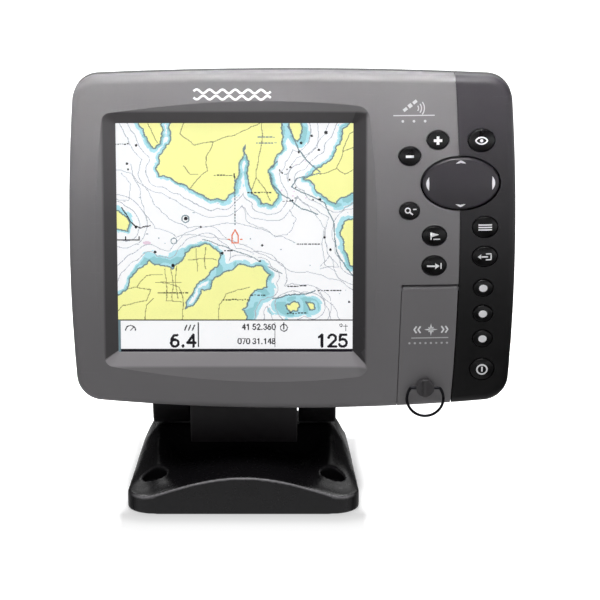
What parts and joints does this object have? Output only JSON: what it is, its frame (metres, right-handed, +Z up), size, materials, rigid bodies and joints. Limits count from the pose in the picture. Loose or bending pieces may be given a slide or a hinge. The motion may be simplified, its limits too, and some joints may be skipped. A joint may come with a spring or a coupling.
{
  "type": "chartplotter display",
  "caption": "Marine chartplotter head with a square recessed screen, domed keys, oval cursor pad and media door, on a tilting quick-release mount.",
  "frame": {"origin": "centre of the mount's footprint, on the surface it is screwed to", "axes": "+Z up, the screen faces -Y, +X is the viewer's right"},
  "size_m": [0.17, 0.096, 0.1697],
  "materials": {
    "bezel_grey": "fine-textured moulded grey",
    "panel_black": "satin black",
    "housing_black": "fine-textured moulded black",
    "mount_black": "polished moulded black",
    "key_black": "glossy domed caps",
    "lens_clear": "clear flat window",
    "screen": "lit display",
    "light_guide": "white diffuser",
    "rubber_black": "matte",
    "steel": "plain stainless",
    "dark_wire": "black-coated wire",
    "circuit_board": "green solder mask",
    "chip_black": "moulded packages",
    "nylon_white": "natural nylon",
    "flex_film": "amber film"
  },
  "bodies": {
    "base": {"mount_base": "mount_black", "tilt_axle": "steel", "axle_nut": "steel", "friction_washers": "nylon_white"},
    "cradle": {"tilt_cradle": "housing_black", "connector_holder": "housing_black", "holder_screws": "steel", "power_plug": "housing_black", "accessory_plug": "housing_black", "blank_plugs": "housing_black", "lever_pin": "steel", "lever_spring": "steel"},
    "lever": {"release_lever": "housing_black"},
    "door": {"media_door": "bezel_grey", "door_seal": "rubber_black"},
    "knob": {"door_knob": "bezel_grey", "knob_clip": "steel"},
    "bail": {"knob_bail": "dark_wire"},
    "pad_core": {"cursor_core": "housing_black"},
    "pad": {"cursor_pad": "key_black"},
    "key_plus": {"key_plus": "key_black"},
    "key_minus": {"key_minus": "key_black"},
    "key_view": {"key_view": "key_black"},
    "key_info": {"key_info": "key_black"},
    "key_mark": {"key_mark": "key_black"},
    "key_goto": {"key_goto": "key_black"},
    "key_menu": {"key_menu": "key_black"},
    "key_exit": {"key_exit": "key_black"},
    "key_preset_1": {"key_preset_1": "key_black"},
    "key_preset_2": {"key_preset_2": "key_black"},
    "key_preset_3": {"key_preset_3": "key_black"},
    "key_power": {"key_power": "key_black"},
    "head": {"front_bezel": "bezel_grey", "side_panel": "panel_black", "rear_housing": "housing_black", "head_sockets": "housing_black", "rocker_mount": "housing_black", "card_socket": "housing_black", "screen_lens": "lens_clear", "lcd_panel": "screen", "backlight_unit": "light_guide", "lens_gasket": "rubber_black", "housing_seal": "rubber_black", "socket_seals": "rubber_black", "keypad_mat": "rubber_black", "housing_screws": "steel", "lcd_screws": "steel", "board_screws": "steel", "door_hinge_pin": "steel", "lcd_frame": "steel", "shield_can": "steel", "dome_switches": "steel", "main_board": "circuit_board", "keypad_board": "circuit_board", "card_board": "circuit_board", "board_chips": "chip_black", "buzzer": "chip_black", "board_standoffs": "nylon_white", "lcd_ribbon": "flex_film", "keypad_ribbon": "flex_film"}
  },
  "joints": [
    {"name": "tilt", "type": "hinge", "parent": "base", "child": "cradle", "pos_m": [0, 0.004, 0.036], "axis": [-1, 0, 0], "range_deg": [-8, 25]},
    {"name": "head_lift", "type": "slide", "parent": "cradle", "child": "head", "axis": [0, 0, 1], "range_m": [0, 0.03]},
    {"name": "lever_press", "type": "hinge", "parent": "cradle", "child": "lever", "pos_m": [0, -0.016, 0.042], "axis": [1, 0, 0], "range_deg": [0, 7]},
    {"name": "door_swing", "type": "hinge", "parent": "head", "child": "door", "pos_m": [0.071, -0.03428, 0.08605], "axis": [-0.9983, -0.0577, 0], "range_deg": [0, 90]},
    {"name": "knob_turn", "type": "hinge", "parent": "door", "child": "knob", "pos_m": [0.07, -0.0367, 0.0474], "axis": [0, -1, 0], "range_deg": [0, 90]},
    {"name": "bail_swing", "type": "hinge", "parent": "knob", "child": "bail", "pos_m": [0.07, -0.0367, 0.0474], "axis": [-1, 0, 0], "range_deg": [0, 100]},
    {"name": "pad_up_down", "type": "hinge", "parent": "head", "child": "pad_core", "pos_m": [0.0827, -0.0308, 0.1277], "axis": [1, 0, 0], "range_deg": [-3, 3]},
    {"name": "pad_left_right", "type": "hinge", "parent": "pad_core", "child": "pad", "pos_m": [0.0827, -0.0308, 0.1277], "axis": [0, 0, 1], "range_deg": [-3, 3]},
    {"name": "press_plus", "type": "slide", "parent": "head", "child": "key_plus", "axis": [0, 1, 0], "range_m": [0, 0.0007]},
    {"name": "press_minus", "type": "slide", "parent": "head", "child": "key_minus", "axis": [0, 1, 0], "range_m": [0, 0.0007]},
    {"name": "press_view", "type": "slide", "parent": "head", "child": "key_view", "axis": [0, 1, 0], "range_m": [0, 0.0007]},
    {"name": "press_info", "type": "slide", "parent": "head", "child": "key_info", "axis": [0, 1, 0], "range_m": [0, 0.0007]},
    {"name": "press_mark", "type": "slide", "parent": "head", "child": "key_mark", "axis": [0, 1, 0], "range_m": [0, 0.0007]},
    {"name": "press_goto", "type": "slide", "parent": "head", "child": "key_goto", "axis": [0, 1, 0], "range_m": [0, 0.0007]},
    {"name": "press_menu", "type": "slide", "parent": "head", "child": "key_menu", "axis": [0, 1, 0], "range_m": [0, 0.0007]},
    {"name": "press_exit", "type": "slide", "parent": "head", "child": "key_exit", "axis": [0, 1, 0], "range_m": [0, 0.0007]},
    {"name": "press_preset_1", "type": "slide", "parent": "head", "child": "key_preset_1", "axis": [0, 1, 0], "range_m": [0, 0.0007]},
    {"name": "press_preset_2", "type": "slide", "parent": "head", "child": "key_preset_2", "axis": [0, 1, 0], "range_m": [0, 0.0007]},
    {"name": "press_preset_3", "type": "slide", "parent": "head", "child": "key_preset_3", "axis": [0, 1, 0], "range_m": [0, 0.0007]},
    {"name": "press_power", "type": "slide", "parent": "head", "child": "key_power", "axis": [0, 1, 0], "range_m": [0, 0.0007]}
  ]
}
